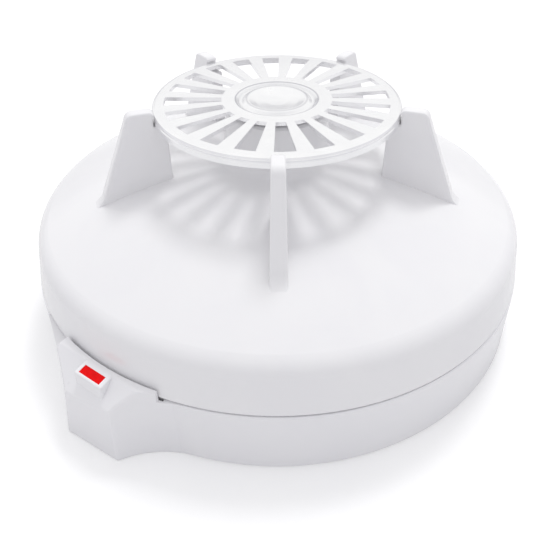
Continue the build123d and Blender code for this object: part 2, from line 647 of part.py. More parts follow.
def make_ceramics():
    z = BOARD_Z + BOARD_T
    out = []
    for x, y in ((-18, -6), (-18, 2), (17, 4)):
        lens = Pos(0, 0, z + 3.0) * Rot(90, 0, 0) * Cylinder(2.2, 1.4)
        lens = fillet(lens.edges().filter_by(GeomType.CIRCLE), 0.4)
        out.append(Pos(x, y, 0) * legged(lens, [(-1.2, 0), (1.2, 0)], 0.25, z + 2.0))
    return group(out)


def make_resistors():
    z = BOARD_Z + BOARD_T
    out = []
    for i in range(6):
        body = Pos(0, 0, z + 1.3) * Rot(0, 90, 0) * Cylinder(0.95, 5.0)
        wire = Pos(0, 0, z + 1.3) * Rot(0, 90, 0) * Cylinder(0.25, 7.6)
        part = legged(body + wire, [(-3.6, 0), (3.6, 0)], 0.25, z + 1.35)
        out.append(Pos(-8, -22 + i * 3.2, 0) * part)
    return group(out)


def make_control_ic():
    z = BOARD_Z + BOARD_T
    body = block(-4.8, 4.8, -3.2, 3.2, z + 0.6, z + 3.9)
    body = body - rod(0.6, z + 3.6, z + 5, -3.6, 0)
    for i in range(4):
        x = -3.81 + i * 2.54
        for side in (-1, 1):
            y = side * 3.5
            body = body + block(x - 0.3, x + 0.3, min(y - 0.3, y + 0.3), max(y - 0.3, y + 0.3), z, z + 2.2)
    return Pos(4, 20, 0) * body


def make_bridge():
    z = BOARD_Z + BOARD_T
    body = block(-4.0, 4.0, -3.2, 3.2, z + 0.5, z + 3.0)
    for x in (-2.5, 2.5):
        for side in (-1, 1):
            y = side * 3.5
            body = body + block(x - 0.4, x + 0.4, min(y - 0.3, y + 0.3), max(y - 0.3, y + 0.3), z, z + 1.8)
    return Pos(22, -8, 0) * body


def make_transistors():
    z = BOARD_Z + BOARD_T
    out = []
    for x, y in ((-16, 14), (-7, 14)):
        can = rod(2.4, z + 1.6, z + 6.2) - block(-3, 3, 1.2, 3, z, z + 8)
        out.append(Pos(x, y, 0) * legged(can, [(-1.27, 0), (0, 0), (1.27, 0)], 0.25, z + 1.7))
    return group(out)


def make_reference_thermistor():
    z = BOARD_Z + BOARD_T
    bead = Pos(0, 0, z + 2.6) * Sphere(1.3)
    return Pos(-24, -12, 0) * legged(bead, [(-0.7, 0), (0.7, 0)], 0.22, z + 2.0)


save(make_base_shell(), "base_shell")
save(make_window(), "led_window")
save(make_indicator_led(), "indicator_led")
save(make_led_board(), "led_board")
save(make_led_resistor(), "led_resistor")
save(make_led_wires(), "led_wires")
save(make_contact_clips(), "contact_clips")
save(make_clip_rivets(), "clip_rivets")
for number, term_deg in enumerate(TERM_DEGS, 1):
    save(make_clamp(term_deg), f"wire_clamp_{number}")
    save(make_terminal_screw(term_deg), f"terminal_screw_{number}")
save(make_head_cover(), "head_cover")
save(make_collector_plate(), "collector_plate")
save(make_sensor_sleeve(), "sensor_sleeve")
save(make_thermistor_bead(), "thermistor_bead")
save(make_thermistor_leads(), "thermistor_leads")
save(make_chassis(), "head_chassis")
save(make_chassis_screws(), "chassis_screws")
save(make_contact_blades(), "contact_blades")
save(make_circuit_board(), "circuit_board")
save(make_board_screws(), "board_screws")
save(make_electrolytic(), "electrolytic_capacitor")
save(make_ceramics(), "ceramic_capacitors")
save(make_resistors(), "resistors")
save(make_control_ic(), "control_ic")
save(make_bridge(), "bridge_rectifier")
save(make_transistors(), "transistors")
save(make_reference_thermistor(), "reference_thermistor")
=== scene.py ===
import math

import bmesh
import bpy
from mathutils import Matrix, Vector

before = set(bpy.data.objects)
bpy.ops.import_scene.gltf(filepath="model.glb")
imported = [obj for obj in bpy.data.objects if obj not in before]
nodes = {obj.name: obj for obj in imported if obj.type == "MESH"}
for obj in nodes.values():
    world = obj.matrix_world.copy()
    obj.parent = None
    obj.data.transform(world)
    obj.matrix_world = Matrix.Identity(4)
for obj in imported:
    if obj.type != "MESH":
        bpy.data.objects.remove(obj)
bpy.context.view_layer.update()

scene = bpy.context.scene

# --- The view ---------------------------------------------------------------------------
# A camera close above the front rim, as a product is shot on a table. It stands so near
# that its near clipping has to be short.
camera_place = (-0.000595, -0.10067, 0.08466)
camera_tilt = 49.62
camera_roll = -0.457

camera_data = bpy.data.cameras.new("view")
camera_data.sensor_width = 36.0
camera_data.lens = 37.09
camera_data.clip_start = 0.005
camera = bpy.data.objects.new("view", camera_data)
scene.collection.objects.link(camera)
camera.matrix_world = (
    Matrix.Translation(camera_place)
    @ Matrix.Rotation(math.radians(camera_tilt), 4, "X")
    @ Matrix.Rotation(math.radians(camera_roll), 4, "Z")
)
scene.camera = camera
scene.view_settings.view_transform = "Standard"

# --- The table --------------------------------------------------------------------------
# A sheet of white laminate that runs on past the view and sweeps up at the back. It lies
# a hair below the detector, so that the two faces are never in one plane.
table_reach = 1.2
table_drop = 0.0001
sweep_start = 0.7
sweep_rate = 1.6

table_mesh = bmesh.new()
bmesh.ops.create_grid(table_mesh, x_segments=40, y_segments=40, size=table_reach)
for v in table_mesh.verts:
    rise = max(0.0, v.co.y - sweep_start)
    v.co.z += sweep_rate * rise * rise
table_data = bpy.data.meshes.new("table")
table_mesh.to_mesh(table_data)
table_mesh.free()
table_data.polygons.foreach_set("use_smooth", [True] * len(table_data.polygons))
table = bpy.data.objects.new("table", table_data)
scene.collection.objects.link(table)
table.location.z = -table_drop

laminate = bpy.data.materials.new("white_laminate")
laminate.use_nodes = True
tree = laminate.node_tree
shader = tree.nodes["Principled BSDF"]
place = tree.nodes.new("ShaderNodeTexCoord")
grain = tree.nodes.new("ShaderNodeTexNoise")
grain.inputs["Scale"].default_value = 60.0
grain.inputs["Detail"].default_value = 3.0
tree.links.new(place.outputs["Object"], grain.inputs["Vector"])
gloss = tree.nodes.new("ShaderNodeMapRange")
gloss.inputs["To Min"].default_value = 0.30
gloss.inputs["To Max"].default_value = 0.38
tree.links.new(grain.outputs["Fac"], gloss.inputs["Value"])
tree.links.new(gloss.outputs["Result"], shader.inputs["Roughness"])
tone = tree.nodes.new("ShaderNodeMix")
tone.data_type = "RGBA"
tone.inputs["A"].default_value = (0.80, 0.80, 0.805, 1)
tone.inputs["B"].default_value = (0.83, 0.83, 0.83, 1)
tree.links.new(grain.outputs["Fac"], tone.inputs["Factor"])
tree.links.new(tone.outputs["Result"], shader.inputs["Base Color"])
tree.links.new(tone.outputs["Result"], shader.inputs["Emission Color"])
# the laminate's own lift is only for the eye, so that it does not light the detector
sight = tree.nodes.new("ShaderNodeLightPath")
lift = tree.nodes.new("ShaderNodeMapRange")
lift.inputs["To Min"].default_value = 0.0
lift.inputs["To Max"].default_value = 0.26
tree.links.new(sight.outputs["Is Camera Ray"], lift.inputs["Value"])
tree.links.new(lift.outputs["Result"], shader.inputs["Emission Strength"])
shader.inputs["Specular IOR Level"].default_value = 0.25
# from below the sheet is see-through; the base's underside is in its own shade and looks black
side = tree.nodes.new("ShaderNodeNewGeometry")
clear = tree.nodes.new("ShaderNodeBsdfTransparent")
choose = tree.nodes.new("ShaderNodeMixShader")
tree.links.new(side.outputs["Backfacing"], choose.inputs[0])
tree.links.new(shader.outputs["BSDF"], choose.inputs[1])
tree.links.new(clear.outputs["BSDF"], choose.inputs[2])
tree.links.new(choose.outputs["Shader"], tree.nodes["Material Output"].inputs["Surface"])
table_data.materials.append(laminate)

# --- The light --------------------------------------------------------------------------
# An even white tent with a brighter sheet behind the detector, and one soft box high at the
# back that draws the pierced plate's shadow on the dome.
sheet_facing = (0.0, 0.77, 0.64)
key_place = (0.10, 0.28, 0.62)
key_size = 0.15
key_watts = 1.3
key_aim = (0.0, 0.0, 0.03)

tent = bpy.data.worlds.new("tent")
tent.use_nodes = True
scene.world = tent
tree = tent.node_tree
sky = tree.nodes["Background"]
place = tree.nodes.new("ShaderNodeTexCoord")
split = tree.nodes.new("ShaderNodeSeparateXYZ")
tree.links.new(place.outputs["Generated"], split.inputs["Vector"])
ramp = tree.nodes.new("ShaderNodeValToRGB")
ramp.color_ramp.elements[0].position = 0.0
ramp.color_ramp.elements[0].color = (0.82, 0.815, 0.85, 1)
ramp.color_ramp.elements[1].position = 0.75
ramp.color_ramp.elements[1].color = (0.80, 0.80, 0.82, 1)
tree.links.new(split.outputs["Z"], ramp.inputs["Fac"])
# a bright sheet stands behind the detector and leans over it
sheet = tree.nodes.new("ShaderNodeVectorMath")
sheet.operation = "DOT_PRODUCT"
sheet.inputs[1].default_value = sheet_facing
tree.links.new(place.outputs["Generated"], sheet.inputs[0])
edge = tree.nodes.new("ShaderNodeMapRange")
edge.interpolation_type = "SMOOTHSTEP"
edge.inputs["From Min"].default_value = 0.45
edge.inputs["From Max"].default_value = 0.80
tree.links.new(sheet.outputs["Value"], edge.inputs["Value"])
tent_colour = tree.nodes.new("ShaderNodeMix")
tent_colour.data_type = "RGBA"
tent_colour.inputs["B"].default_value = (1.0, 1.0, 1.0, 1)
tree.links.new(edge.outputs["Result"], tent_colour.inputs["Factor"])
tree.links.new(ramp.outputs["Color"], tent_colour.inputs["A"])
tree.links.new(tent_colour.outputs["Result"], sky.inputs["Color"])
sky.inputs["Strength"].default_value = 1.0


# the soft box is kept out of the mirror reflections
key_data = bpy.data.lights.new("key", "AREA")
key_data.shape = "SQUARE"
key_data.size = key_size
key_data.energy = key_watts
key = bpy.data.objects.new("key", key_data)
scene.collection.objects.link(key)
key.location = key_place
towards = Vector(key_aim) - Vector(key_place)
key.rotation_euler = towards.to_track_quat("-Z", "Y").to_euler()
key.visible_glossy = False

# --- Mounting base ----------------------------------------------------------------------
# The round dish that is screwed to the ceiling, with the nose that carries the indicator.
# One glossy white ABS moulding: the skin has a faint flow pattern and a few specks.


def new_group(name, sockets_in, sockets_out):
    """An empty shader group with named sockets, and its two end nodes."""
    group = bpy.data.node_groups.new(name, "ShaderNodeTree")
    for label, kind, value in sockets_in:
        socket = group.interface.new_socket(label, in_out="INPUT", socket_type=kind)
        socket.default_value = value
    for label, kind in sockets_out:
        group.interface.new_socket(label, in_out="OUTPUT", socket_type=kind)
    start = group.nodes.new("NodeGroupInput")
    end = group.nodes.new("NodeGroupOutput")
    return group, start, end


def noise(tree, vector, scale, detail=2.0, roughness=0.5):
    """A noise texture on a vector output."""
    node = tree.nodes.new("ShaderNodeTexNoise")
    node.inputs["Scale"].default_value = scale
    node.inputs["Detail"].default_value = detail
    node.inputs["Roughness"].default_value = roughness
    tree.links.new(vector, node.inputs["Vector"])
    return node.outputs["Fac"]


def spread(tree, value, low, high, to_low=0.0, to_high=1.0):
    """A value stretched from one range to another, and clamped."""
    node = tree.nodes.new("ShaderNodeMapRange")
    node.inputs["From Min"].default_value = low
    node.inputs["From Max"].default_value = high
    node.inputs["To Min"].default_value = to_low
    node.inputs["To Max"].default_value = to_high
    tree.links.new(value, node.inputs["Value"])
    return node.outputs["Result"]


def blend_colours(tree, factor, first, second):
    """A mix of two colours. Each is a colour output or a fixed colour."""
    node = tree.nodes.new("ShaderNodeMix")
    node.data_type = "RGBA"
    tree.links.new(factor, node.inputs["Factor"])
    for name, colour in (("A", first), ("B", second)):
        if isinstance(colour, bpy.types.NodeSocket):
            tree.links.new(colour, node.inputs[name])
        else:
            node.inputs[name].default_value = (*colour, 1.0)
    return node.outputs["Result"]


moulded_skin, start, end = new_group(
    "moulded_skin",
    [
        ("Colour", "NodeSocketColor", (0.9, 0.9, 0.9, 1)),
        ("Flow Colour", "NodeSocketColor", (0.88, 0.88, 0.88, 1)),
        ("Gloss Low", "NodeSocketFloat", 0.2),
        ("Gloss High", "NodeSocketFloat", 0.3),
        ("Flow Scale", "NodeSocketFloat", 60.0),
    ],
    [("Colour", "NodeSocketColor"), ("Roughness", "NodeSocketFloat"), ("Height", "NodeSocketFloat")],
)
tree = moulded_skin
place = tree.nodes.new("ShaderNodeTexCoord")
flow = tree.nodes.new("ShaderNodeTexNoise")
flow.inputs["Detail"].default_value = 3.0
flow.inputs["Distortion"].default_value = 1.2
tree.links.new(place.outputs["Object"], flow.inputs["Vector"])
tree.links.new(start.outputs["Flow Scale"], flow.inputs["Scale"])
grain = noise(tree, place.outputs["Object"], 1400.0, 2.0)
specks = noise(tree, place.outputs["Object"], 520.0, 1.0)
mix = tree.nodes.new("ShaderNodeMix")
mix.data_type = "RGBA"
tree.links.new(spread(tree, flow.outputs["Fac"], 0.35, 0.65), mix.inputs["Factor"])
tree.links.new(start.outputs["Colour"], mix.inputs["A"])
tree.links.new(start.outputs["Flow Colour"], mix.inputs["B"])
speck_colour = (0.6, 0.6, 0.62)
speck_mask = spread(tree, specks, 0.79, 0.84, 0.0, 0.12)
dim = blend_colours(tree, speck_mask, mix.outputs["Result"], speck_colour)
tree.links.new(dim, end.inputs["Colour"])
rough = tree.nodes.new("ShaderNodeMapRange")
tree.links.new(grain, rough.inputs["Value"])
tree.links.new(start.outputs["Gloss Low"], rough.inputs["To Min"])
tree.links.new(start.outputs["Gloss High"], rough.inputs["To Max"])
tree.links.new(rough.outputs["Result"], end.inputs["Roughness"])
tree.links.new(grain, end.inputs["Height"])


def moulded_plastic(name, colour, flow_colour, gloss, bump, scale=60.0, specular=0.5):
    """A moulded plastic from the shared skin group."""
    material = bpy.data.materials.new(name)
    material.use_nodes = True
    tree = material.node_tree
    shader = tree.nodes["Principled BSDF"]
    skin = tree.nodes.new("ShaderNodeGroup")
    skin.node_tree = moulded_skin
    skin.inputs["Colour"].default_value = (*colour, 1)
    skin.inputs["Flow Colour"].default_value = (*flow_colour, 1)
    skin.inputs["Gloss Low"].default_value = gloss[0]
    skin.inputs["Gloss High"].default_value = gloss[1]
    skin.inputs["Flow Scale"].default_value = scale
    tree.links.new(skin.outputs["Colour"], shader.inputs["Base Color"])
    tree.links.new(skin.outputs["Roughness"], shader.inputs["Roughness"])
    relief = tree.nodes.new("ShaderNodeBump")
    relief.inputs["Strength"].default_value = bump
    relief.inputs["Distance"].default_value = 0.00002
    tree.links.new(skin.outputs["Height"], relief.inputs["Height"])
    tree.links.new(relief.outputs["Normal"], shader.inputs["Normal"])
    shader.inputs["Specular IOR Level"].default_value = specular
    return material


def dress(node, material):
    """Puts one material on a CAD piece."""
    piece = nodes[node]
    piece.data.materials.clear()
    piece.data.materials.append(material)


white_abs = moulded_plastic(
    "glossy_white_abs", (0.875, 0.87, 0.885), (0.86, 0.855, 0.875), (0.20, 0.27), 0.12
)
dress("base_shell", white_abs)

# --- Indicator window -------------------------------------------------------------------
# A small red lens, pressed into the bezel on top of the nose. Moulded acrylic, deep red
# right through and slightly uneven in tone.
red_acrylic = bpy.data.materials.new("red_acrylic")
red_acrylic.use_nodes = True
tree = red_acrylic.node_tree
shader = tree.nodes["Principled BSDF"]
place = tree.nodes.new("ShaderNodeTexCoord")
ribs = noise(tree, place.outputs["Object"], 900.0, 2.0)
red_tone_and_painted_glow = blend_colours(tree, spread(tree, ribs, 0.35, 0.7), (0.62, 0.0, 0.001), (0.74, 0.001, 0.002))
tree.links.new(red_tone_and_painted_glow, shader.inputs["Base Color"])
tree.links.new(red_tone_and_painted_glow, shader.inputs["Emission Color"])
tree.links.new(spread(tree, ribs, 0.2, 0.8, 0.08, 0.18), shader.inputs["Roughness"])
# painted glow: the lens gives off a faint red light of its own, though nothing behind it is lit
shader.inputs["Emission Strength"].default_value = 0.18
shader.inputs["Specular IOR Level"].default_value = 0.12
dress("led_window", red_acrylic)

# --- Indicator lamp ---------------------------------------------------------------------
# A flat red LED under the window. Cast in tinted epoxy, clear enough to glow a little,
# with two tinned legs through its board.
led_foot = 0.0089
leg_blend = 0.00005

led_epoxy = bpy.data.materials.new("red_led_epoxy")
led_epoxy.use_nodes = True
tree = led_epoxy.node_tree
shader = tree.nodes["Principled BSDF"]
place = tree.nodes.new("ShaderNodeTexCoord")
swirl = noise(tree, place.outputs["Object"], 700.0, 3.0)
cast = blend_colours(tree, spread(tree, swirl, 0.35, 0.65), (0.55, 0.012, 0.012), (0.72, 0.03, 0.025))
split = tree.nodes.new("ShaderNodeSeparateXYZ")
tree.links.new(place.outputs["Object"], split.inputs["Vector"])
leg = spread(tree, split.outputs["Z"], led_foot - leg_blend, led_foot, 1.0, 0.0)
tree.links.new(blend_colours(tree, leg, cast, (0.72, 0.72, 0.74)), shader.inputs["Base Color"])
tree.links.new(leg, shader.inputs["Metallic"])
tree.links.new(spread(tree, swirl, 0.2, 0.8, 0.14, 0.26), shader.inputs["Roughness"])
dress("indicator_led", led_epoxy)

# --- Indicator board --------------------------------------------------------------------
# A small glass-epoxy board that stands on two shelves inside the nose. Green solder mask
# over copper tracks, with tinned pads.
printed_board, start, end = new_group(
    "printed_board",
    [
        ("Mask", "NodeSocketColor", (0.01, 0.12, 0.05, 1)),
        ("Track", "NodeSocketColor", (0.03, 0.24, 0.08, 1)),
        ("Pad", "NodeSocketColor", (0.74, 0.74, 0.76, 1)),
        ("Track Scale", "NodeSocketFloat", 180.0),
        ("Pad Scale", "NodeSocketFloat", 260.0),
    ],
    [
        ("Colour", "NodeSocketColor"),
        ("Pad Mask", "NodeSocketFloat"),
        ("Roughness", "NodeSocketFloat"),
        ("Height", "NodeSocketFloat"),
    ],
)
tree = printed_board
place = tree.nodes.new("ShaderNodeTexCoord")
runs = tree.nodes.new("ShaderNodeTexBrick")
runs.inputs["Color1"].default_value = (1, 1, 1, 1)
runs.inputs["Color2"].default_value = (0.9, 0.9, 0.9, 1)
runs.inputs["Mortar"].default_value = (0, 0, 0, 1)
runs.inputs["Mortar Size"].default_value = 0.09
runs.inputs["Mortar Smooth"].default_value = 0.1
tree.links.new(place.outputs["Object"], runs.inputs["Vector"])
tree.links.new(start.outputs["Track Scale"], runs.inputs["Scale"])
cells = tree.nodes.new("ShaderNodeTexVoronoi")
cells.inputs["Randomness"].default_value = 0.25
tree.links.new(place.outputs["Object"], cells.inputs["Vector"])
tree.links.new(start.outputs["Pad Scale"], cells.inputs["Scale"])
pads = spread(tree, cells.outputs["Distance"], 0.14, 0.18, 1.0, 0.0)
mask = tree.nodes.new("ShaderNodeMix")
mask.data_type = "RGBA"
tree.links.new(runs.outputs["Color"], mask.inputs["Factor"])
tree.links.new(start.outputs["Track"], mask.inputs["A"])
tree.links.new(start.outputs["Mask"], mask.inputs["B"])
tinned = tree.nodes.new("ShaderNodeMix")
tinned.data_type = "RGBA"
tree.links.new(pads, tinned.inputs["Factor"])
tree.links.new(mask.outputs["Result"], tinned.inputs["A"])
tree.links.new(start.outputs["Pad"], tinned.inputs["B"])
tree.links.new(tinned.outputs["Result"], end.inputs["Colour"])
tree.links.new(pads, end.inputs["Pad Mask"])
weave = noise(tree, place.outputs["Object"], 1800.0, 2.0)
tree.links.new(spread(tree, weave, 0.2, 0.8, 0.25, 0.42), end.inputs["Roughness"])
tree.links.new(spread(tree, runs.outputs["Fac"], 0.0, 1.0, 0.4, 1.0), end.inputs["Height"])


def solder_masked(name, mask, track, track_scale, pad_scale):
    """A printed board with tracks under the mask and bare tinned pads."""
    material = bpy.data.materials.new(name)
    material.use_nodes = True
    tree = material.node_tree
    shader = tree.nodes["Principled BSDF"]
    board = tree.nodes.new("ShaderNodeGroup")
    board.node_tree = printed_board
    board.inputs["Mask"].default_value = (*mask, 1)
    board.inputs["Track"].default_value = (*track, 1)
    board.inputs["Track Scale"].default_value = track_scale
    board.inputs["Pad Scale"].default_value = pad_scale
    tree.links.new(board.outputs["Colour"], shader.inputs["Base Color"])
    tree.links.new(board.outputs["Pad Mask"], shader.inputs["Metallic"])
    tree.links.new(board.outputs["Roughness"], shader.inputs["Roughness"])
    relief = tree.nodes.new("ShaderNodeBump")
    relief.inputs["Strength"].default_value = 0.4
    relief.inputs["Distance"].default_value = 0.00004
    tree.links.new(board.outputs["Height"], relief.inputs["Height"])
    tree.links.new(relief.outputs["Normal"], shader.inputs["Normal"])
    return material


dress("led_board", solder_masked("indicator_board", (0.008, 0.11, 0.045), (0.03, 0.22, 0.08), 420.0, 520.0))

# --- Indicator resistor -----------------------------------------------------------------
# A chip resistor soldered under the board: white ceramic with a black glaze on its face
# and tinned ends.
along_nose = (0.8192, -0.5736, 0.0)
cap_start = 0.00112
cap_edge = 0.00116

chip_glaze = bpy.data.materials.new("chip_glaze")
chip_glaze.use_nodes = True
tree = chip_glaze.node_tree
shader = tree.nodes["Principled BSDF"]
place = tree.nodes.new("ShaderNodeTexCoord")
across = tree.nodes.new("ShaderNodeVectorMath")
across.operation = "DOT_PRODUCT"
across.inputs[1].default_value = along_nose
tree.links.new(place.outputs["Object"], across.inputs[0])
reach = tree.nodes.new("ShaderNodeMath")
reach.operation = "ABSOLUTE"
tree.links.new(across.outputs["Value"], reach.inputs[0])
tinned_end = spread(tree, reach.outputs["Value"], cap_start, cap_edge)
fired = noise(tree, place.outputs["Object"], 1500.0, 2.0)
glaze = blend_colours(tree, spread(tree, fired, 0.3, 0.7), (0.012, 0.012, 0.013), (0.028, 0.028, 0.03))
tree.links.new(blend_colours(tree, tinned_end, glaze, (0.76, 0.76, 0.77)), shader.inputs["Base Color"])
tree.links.new(tinned_end, shader.inputs["Metallic"])
tree.links.new(spread(tree, fired, 0.2, 0.8, 0.16, 0.34), shader.inputs["Roughness"])
dress("led_resistor", chip_glaze)

# --- Indicator wires --------------------------------------------------------------------
# Two PVC insulated wires from the indicator's board to the nearest contact strips, one red
# and one black, extruded and slightly matt.
pvc = bpy.data.materials.new("pvc_insulation")
pvc.use_nodes = True
tree = pvc.node_tree
shader = tree.nodes["Principled BSDF"]
place = tree.nodes.new("ShaderNodeTexCoord")
side = tree.nodes.new("ShaderNodeVectorMath")
side.operation = "DOT_PRODUCT"
side.inputs[1].default_value = along_nose
tree.links.new(place.outputs["Object"], side.inputs[0])
which = spread(tree, side.outputs["Value"], -0.0003, 0.0003)
streak = noise(tree, place.outputs["Object"], 900.0, 2.0)
red = blend_colours(tree, spread(tree, streak, 0.3, 0.7), (0.50, 0.02, 0.02), (0.60, 0.035, 0.03))
black = blend_colours(tree, spread(tree, streak, 0.3, 0.7), (0.014, 0.014, 0.016), (0.03, 0.03, 0.032))
tree.links.new(blend_colours(tree, which, black, red), shader.inputs["Base Color"])
tree.links.new(spread(tree, streak, 0.2, 0.8, 0.34, 0.5), shader.inputs["Roughness"])
dress("led_wires", pvc)

# --- Contact clips ----------------------------------------------------------------------
# Four strips of phosphor bronze, stamped and folded into spring leaves, and tinned. The
# tin is drawn thin, so a warm cast shows through it.
worked_metal, start, end = new_group(
    "worked_metal",
    [
        ("Colour", "NodeSocketColor", (0.8, 0.8, 0.8, 1)),
        ("Worn Colour", "NodeSocketColor", (0.6, 0.6, 0.6, 1)),
        ("Gloss Low", "NodeSocketFloat", 0.2),
        ("Gloss High", "NodeSocketFloat", 0.4),
        ("Cloud Scale", "NodeSocketFloat", 300.0),
        ("Grain", "NodeSocketVector", (2000.0, 120.0, 600.0)),
    ],
    [("Colour", "NodeSocketColor"), ("Roughness", "NodeSocketFloat"), ("Height", "NodeSocketFloat")],
)
tree = worked_metal
place = tree.nodes.new("ShaderNodeTexCoord")
drawn = tree.nodes.new("ShaderNodeVectorMath")
drawn.operation = "MULTIPLY"
tree.links.new(place.outputs["Object"], drawn.inputs[0])
tree.links.new(start.outputs["Grain"], drawn.inputs[1])
lines = noise(tree, drawn.outputs["Vector"], 1.0, 3.0)
cloud = tree.nodes.new("ShaderNodeTexNoise")
cloud.inputs["Detail"].default_value = 4.0
tree.links.new(place.outputs["Object"], cloud.inputs["Vector"])
tree.links.new(start.outputs["Cloud Scale"], cloud.inputs["Scale"])
wear = tree.nodes.new("ShaderNodeMix")
wear.data_type = "RGBA"
tree.links.new(spread(tree, cloud.outputs["Fac"], 0.35, 0.68), wear.inputs["Factor"])
tree.links.new(start.outputs["Colour"], wear.inputs["A"])
tree.links.new(start.outputs["Worn Colour"], wear.inputs["B"])
tree.links.new(wear.outputs["Result"], end.inputs["Colour"])
rough = tree.nodes.new("ShaderNodeMapRange")
tree.links.new(cloud.outputs["Fac"], rough.inputs["Value"])
tree.links.new(start.outputs["Gloss Low"], rough.inputs["To Min"])
tree.links.new(start.outputs["Gloss High"], rough.inputs["To Max"])
tree.links.new(rough.outputs["Result"], end.inputs["Roughness"])
tree.links.new(lines, end.inputs["Height"])


def sheet_metal(name, colour, worn, gloss, cloud_scale=300.0, grain=(2000.0, 120.0, 600.0), bump=0.15):
    """A rolled, drawn or plated metal from the shared group."""
    material = bpy.data.materials.new(name)
    material.use_nodes = True
    tree = material.node_tree
    shader = tree.nodes["Principled BSDF"]
    metal = tree.nodes.new("ShaderNodeGroup")
    metal.node_tree = worked_metal
    metal.inputs["Colour"].default_value = (*colour, 1)
    metal.inputs["Worn Colour"].default_value = (*worn, 1)
    metal.inputs["Gloss Low"].default_value = gloss[0]
    metal.inputs["Gloss High"].default_value = gloss[1]
    metal.inputs["Cloud Scale"].default_value = cloud_scale
    metal.inputs["Grain"].default_value = grain
    tree.links.new(metal.outputs["Colour"], shader.inputs["Base Color"])
    tree.links.new(metal.outputs["Roughness"], shader.inputs["Roughness"])
    shader.inputs["Metallic"].default_value = 1.0
    relief = tree.nodes.new("ShaderNodeBump")
    relief.inputs["Strength"].default_value = bump
    relief.inputs["Distance"].default_value = 0.00003
    tree.links.new(metal.outputs["Height"], relief.inputs["Height"])
    tree.links.new(relief.outputs["Normal"], shader.inputs["Normal"])
    return material


dress("contact_clips", sheet_metal("tinned_bronze", (0.80, 0.74, 0.62), (0.72, 0.60, 0.44), (0.20, 0.38)))

# --- Clip rivets ------------------------------------------------------------------------
# One nickel-plated rivet holds each strip down on its post. Cold headed, so the head is
# smooth with a slight bloom.
dress("clip_rivets", sheet_metal("plated_rivet", (0.78, 0.75, 0.70), (0.66, 0.63, 0.58), (0.16, 0.3), 700.0))

# --- Wire clamps ------------------------------------------------------------------------
# A square nickel-plated plate under each terminal screw presses the building's wire onto
# the strip. Stamped, with a light roll grain.
clamp_metal = sheet_metal("plated_clamp", (0.80, 0.77, 0.71), (0.69, 0.66, 0.60), (0.18, 0.34), 400.0)
for number in range(1, 5):
    dress(f"wire_clamp_{number}", clamp_metal)

# --- Terminal screws --------------------------------------------------------------------
# Zinc-plated steel screws with a cross slot, one through each clamp and strip. The zinc
# has a faint blue and yellow passivation.
screw_metal = sheet_metal("zinc_screw", (0.76, 0.78, 0.82), (0.74, 0.72, 0.60), (0.22, 0.40), 500.0)
for number in range(1, 5):
    dress(f"terminal_screw_{number}", screw_metal)

# --- Head cover -------------------------------------------------------------------------
# The domed cover with its hollow column and five fins, one glossy white ABS moulding. It
# is polished more than the base, so the plate's spokes mirror in it.
cover_abs = moulded_plastic(
    "polished_white_abs", (0.865, 0.86, 0.87), (0.85, 0.845, 0.86), (0.12, 0.17), 0.05
)
dress("head_cover", cover_abs)

# --- Collector plate --------------------------------------------------------------------
# The pierced disc that gathers the heat. Bright plated steel, pressed in one stroke, with
# a fine rolled grain and a faint clouding all over.
# radius, half width and strength of the painted shade along each pressed line
pressed_line_shades = ((0.00765, 0.00022, 0.75), (0.0056, 0.00035, 0.4), (0.0071, 0.00055, 0.2))
groove_shade_colour = (0.42, 0.42, 0.47)

plated = bpy.data.materials.new("bright_plated_steel")
plated.use_nodes = True
tree = plated.node_tree
shader = tree.nodes["Principled BSDF"]
place = tree.nodes.new("ShaderNodeTexCoord")
stretch = tree.nodes.new("ShaderNodeMapping")
stretch.inputs["Scale"].default_value = (2400.0, 90.0, 300.0)
tree.links.new(place.outputs["Object"], stretch.inputs["Vector"])
lines = noise(tree, stretch.outputs["Vector"], 1.0, 3.0)
cloud = noise(tree, place.outputs["Object"], 220.0, 3.0, 0.6)
metal_colour = blend_colours(tree, spread(tree, cloud, 0.35, 0.65), (0.93, 0.93, 0.94), (0.97, 0.97, 0.975))
# painted shade: a thin grey line is painted along the pressed groove and the foot of the dish, where shade
# falls
reach = tree.nodes.new("ShaderNodeVectorMath")
reach.operation = "MULTIPLY"
reach.inputs[1].default_value = (1.0, 1.0, 0.0)
tree.links.new(place.outputs["Object"], reach.inputs[0])
radius = tree.nodes.new("ShaderNodeVectorMath")
radius.operation = "LENGTH"
tree.links.new(reach.outputs["Vector"], radius.inputs[0])
for line_r, half, depth in pressed_line_shades:
    apart = tree.nodes.new("ShaderNodeMath")
    apart.operation = "SUBTRACT"
    apart.inputs[1].default_value = line_r
    tree.links.new(radius.outputs["Value"], apart.inputs[0])
    away = tree.nodes.new("ShaderNodeMath")
    away.operation = "ABSOLUTE"
    tree.links.new(apart.outputs["Value"], away.inputs[0])
    groove_shade = spread(tree, away.outputs["Value"], 0.0, half, depth, 0.0)
    metal_colour = blend_colours(tree, groove_shade, metal_colour, groove_shade_colour)
tree.links.new(metal_colour, shader.inputs["Base Color"])
tree.links.new(spread(tree, cloud, 0.3, 0.7, 0.20, 0.28), shader.inputs["Roughness"])
shader.inputs["Metallic"].default_value = 1.0
relief = tree.nodes.new("ShaderNodeBump")
relief.inputs["Strength"].default_value = 0.08
relief.inputs["Distance"].default_value = 0.00002
tree.links.new(lines, relief.inputs["Height"])
tree.links.new(relief.outputs["Normal"], shader.inputs["Normal"])
dress("collector_plate", plated)

# --- Sensor sleeve ----------------------------------------------------------------------
# The off-white nylon tube that carries the sensing thermistor up the column to the plate.
# Moulded without polish, so it is satin.
nylon = moulded_plastic("satin_nylon", (0.80, 0.785, 0.73), (0.76, 0.745, 0.69), (0.42, 0.55), 0.3, 90.0, 0.4)
dress("sensor_sleeve", nylon)

